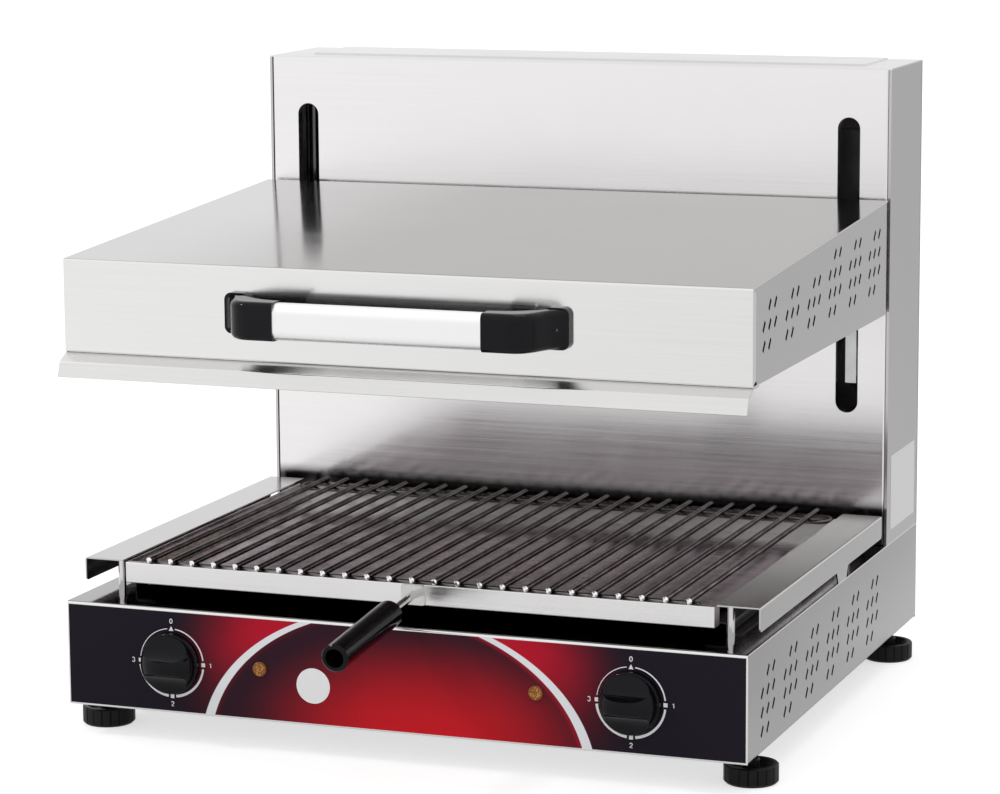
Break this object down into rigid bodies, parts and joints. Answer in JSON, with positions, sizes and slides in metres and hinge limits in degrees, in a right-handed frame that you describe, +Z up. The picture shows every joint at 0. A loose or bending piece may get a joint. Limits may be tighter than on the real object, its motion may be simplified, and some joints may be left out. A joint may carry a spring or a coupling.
{
  "type": "lift-type salamander grill",
  "caption": "Countertop cheese melter: stainless base with drip tray and wire grid, two control knobs, and a heated hood that rises and falls on a column behind.",
  "frame": {"origin": "on the floor, under the middle of the bounding box", "axes": "+X to the right seen from the front, +Y to the back, +Z up"},
  "size_m": [0.622, 0.7012, 0.5482],
  "materials": {
    "stainless": "fine brushed stainless sheet",
    "galvanised_sheet": "plain mill-finish sheet",
    "bright_wire": "polished round wire",
    "zinc_plate": "bright zinc plate",
    "guide_steel": "ground and hard-chromed rod",
    "carriage_steel": "grey primed steel",
    "bush_brass": "turned",
    "pulley_plastic": "moulded nylon",
    "wire_rope": "stranded steel rope",
    "weight_iron": "painted casting",
    "foot_rubber": "moulded, ribbed",
    "overlay_film": "printed film",
    "knob_black": "glossy phenolic",
    "spindle_brass": "turned",
    "switch_body": "moulded",
    "lamp_amber": "clear amber lens",
    "blanket_fibre": "needled ceramic fibre",
    "element_sheath": "oxidised alloy sheath",
    "handle_aluminium": "satin drawn tube"
  },
  "bodies": {
    "base": {"base_cover": "stainless", "base_floor": "galvanised_sheet", "base_rear_panel": "galvanised_sheet", "base_side_left": "stainless", "base_side_right": "stainless", "cable_gland": "switch_body", "column_back_panel": "galvanised_sheet", "column_front_panel": "stainless", "column_side_left": "stainless", "column_side_right": "stainless", "column_top_cap": "stainless", "column_top_lid": "stainless", "control_overlay": "overlay_film", "foot_nuts": "zinc_plate", "guide_rod_brackets": "carriage_steel", "guide_rods": "guide_steel", "lift_cable_wraps": "wire_rope", "pilot_lamps": "lamp_amber", "pulley_crossbar": "carriage_steel", "rail_posts": "bright_wire", "rear_screws": "zinc_plate", "rotary_switches": "switch_body", "side_rail_left": "stainless", "side_rail_right": "stainless", "terminal_block": "switch_body", "tray_runners": "stainless"},
    "hood": {"hood_cover": "stainless", "hood_side_left": "stainless", "hood_side_right": "stainless", "hood_rear_panel": "stainless", "hood_lip": "stainless", "reflector": "galvanised_sheet", "insulation_blanket": "blanket_fibre", "heating_element_left": "element_sheath", "heating_element_right": "element_sheath", "element_support_rods": "bright_wire", "hood_handle_end_left": "knob_black", "hood_handle_end_right": "knob_black", "hood_handle_tube": "handle_aluminium", "hood_screws": "zinc_plate", "carriage_left": "carriage_steel", "carriage_right": "carriage_steel", "guide_bushes": "bush_brass", "lift_cable_hood_runs": "wire_rope"},
    "counterweight": {"counterweight": "weight_iron", "lift_cable_weight_runs": "wire_rope"},
    "pulley_left": {"pulley_left": "pulley_plastic"},
    "pulley_right": {"pulley_right": "pulley_plastic"},
    "knob_left": {"knob_left": "knob_black", "switch_spindle_left": "spindle_brass"},
    "knob_right": {"knob_right": "knob_black", "switch_spindle_right": "spindle_brass"},
    "tray": {"drip_tray": "stainless", "tray_handle_rod": "bright_wire", "tray_handle_grip": "knob_black"},
    "grid": {"wire_grid": "bright_wire"},
    "foot_front_left": {"levelling_foot_front_left": "foot_rubber"},
    "foot_front_right": {"levelling_foot_front_right": "foot_rubber"},
    "foot_back_left": {"levelling_foot_back_left": "foot_rubber"},
    "foot_back_right": {"levelling_foot_back_right": "foot_rubber"}
  },
  "joints": [
    {"name": "hood_lift", "type": "slide", "parent": "base", "child": "hood", "axis": [0, 0, 1], "range_m": [-0.112, 0.085], "deforming": ["lift_cable_hood_runs"]},
    {"name": "counterweight_slide", "type": "slide", "parent": "base", "child": "counterweight", "axis": [0, 0, 1], "range_m": [-0.085, 0.112], "deforming": ["lift_cable_weight_runs"]},
    {"name": "pulley_left_spin", "type": "hinge", "parent": "base", "child": "pulley_left", "pos_m": [-0.205, 0.29522, 0.507], "axis": [0, 1, 0], "range_deg": [-264, 196]},
    {"name": "pulley_right_spin", "type": "hinge", "parent": "base", "child": "pulley_right", "pos_m": [0.205, 0.29522, 0.507], "axis": [0, 1, 0], "range_deg": [-196, 264]},
    {"name": "knob_left_turn", "type": "hinge", "parent": "base", "child": "knob_left", "pos_m": [-0.203, -0.21888, 0.071], "axis": [0, 1, 0], "range_deg": [0, 270]},
    {"name": "knob_right_turn", "type": "hinge", "parent": "base", "child": "knob_right", "pos_m": [0.203, -0.21888, 0.071], "axis": [0, 1, 0], "range_deg": [0, 270]},
    {"name": "tray_pull", "type": "slide", "parent": "base", "child": "tray", "axis": [0, -1, 0], "range_m": [0, 0.26]},
    {"name": "grid_lift", "type": "slide", "parent": "tray", "child": "grid", "axis": [0, 0, 1], "range_m": [0, 0.04]},
    {"name": "foot_front_left_turn", "type": "hinge", "parent": "base", "child": "foot_front_left", "pos_m": [-0.2885, -0.16738, 0], "axis": [0, 0, 1], "continuous": true},
    {"name": "foot_front_right_turn", "type": "hinge", "parent": "base", "child": "foot_front_right", "pos_m": [0.2885, -0.16738, 0], "axis": [0, 0, 1], "continuous": true},
    {"name": "foot_back_left_turn", "type": "hinge", "parent": "base", "child": "foot_back_left", "pos_m": [-0.2885, 0.27462, 0], "axis": [0, 0, 1], "continuous": true},
    {"name": "foot_back_right_turn", "type": "hinge", "parent": "base", "child": "foot_back_right", "pos_m": [0.2885, 0.27462, 0], "axis": [0, 0, 1], "continuous": true}
  ],
  "couplings": [
    {"joint": "counterweight_slide", "follows": "hood_lift", "ratio": -1},
    {"joint": "pulley_left_spin", "follows": "hood_lift", "rad_per_m": 40},
    {"joint": "pulley_right_spin", "follows": "hood_lift", "rad_per_m": -40}
  ]
}
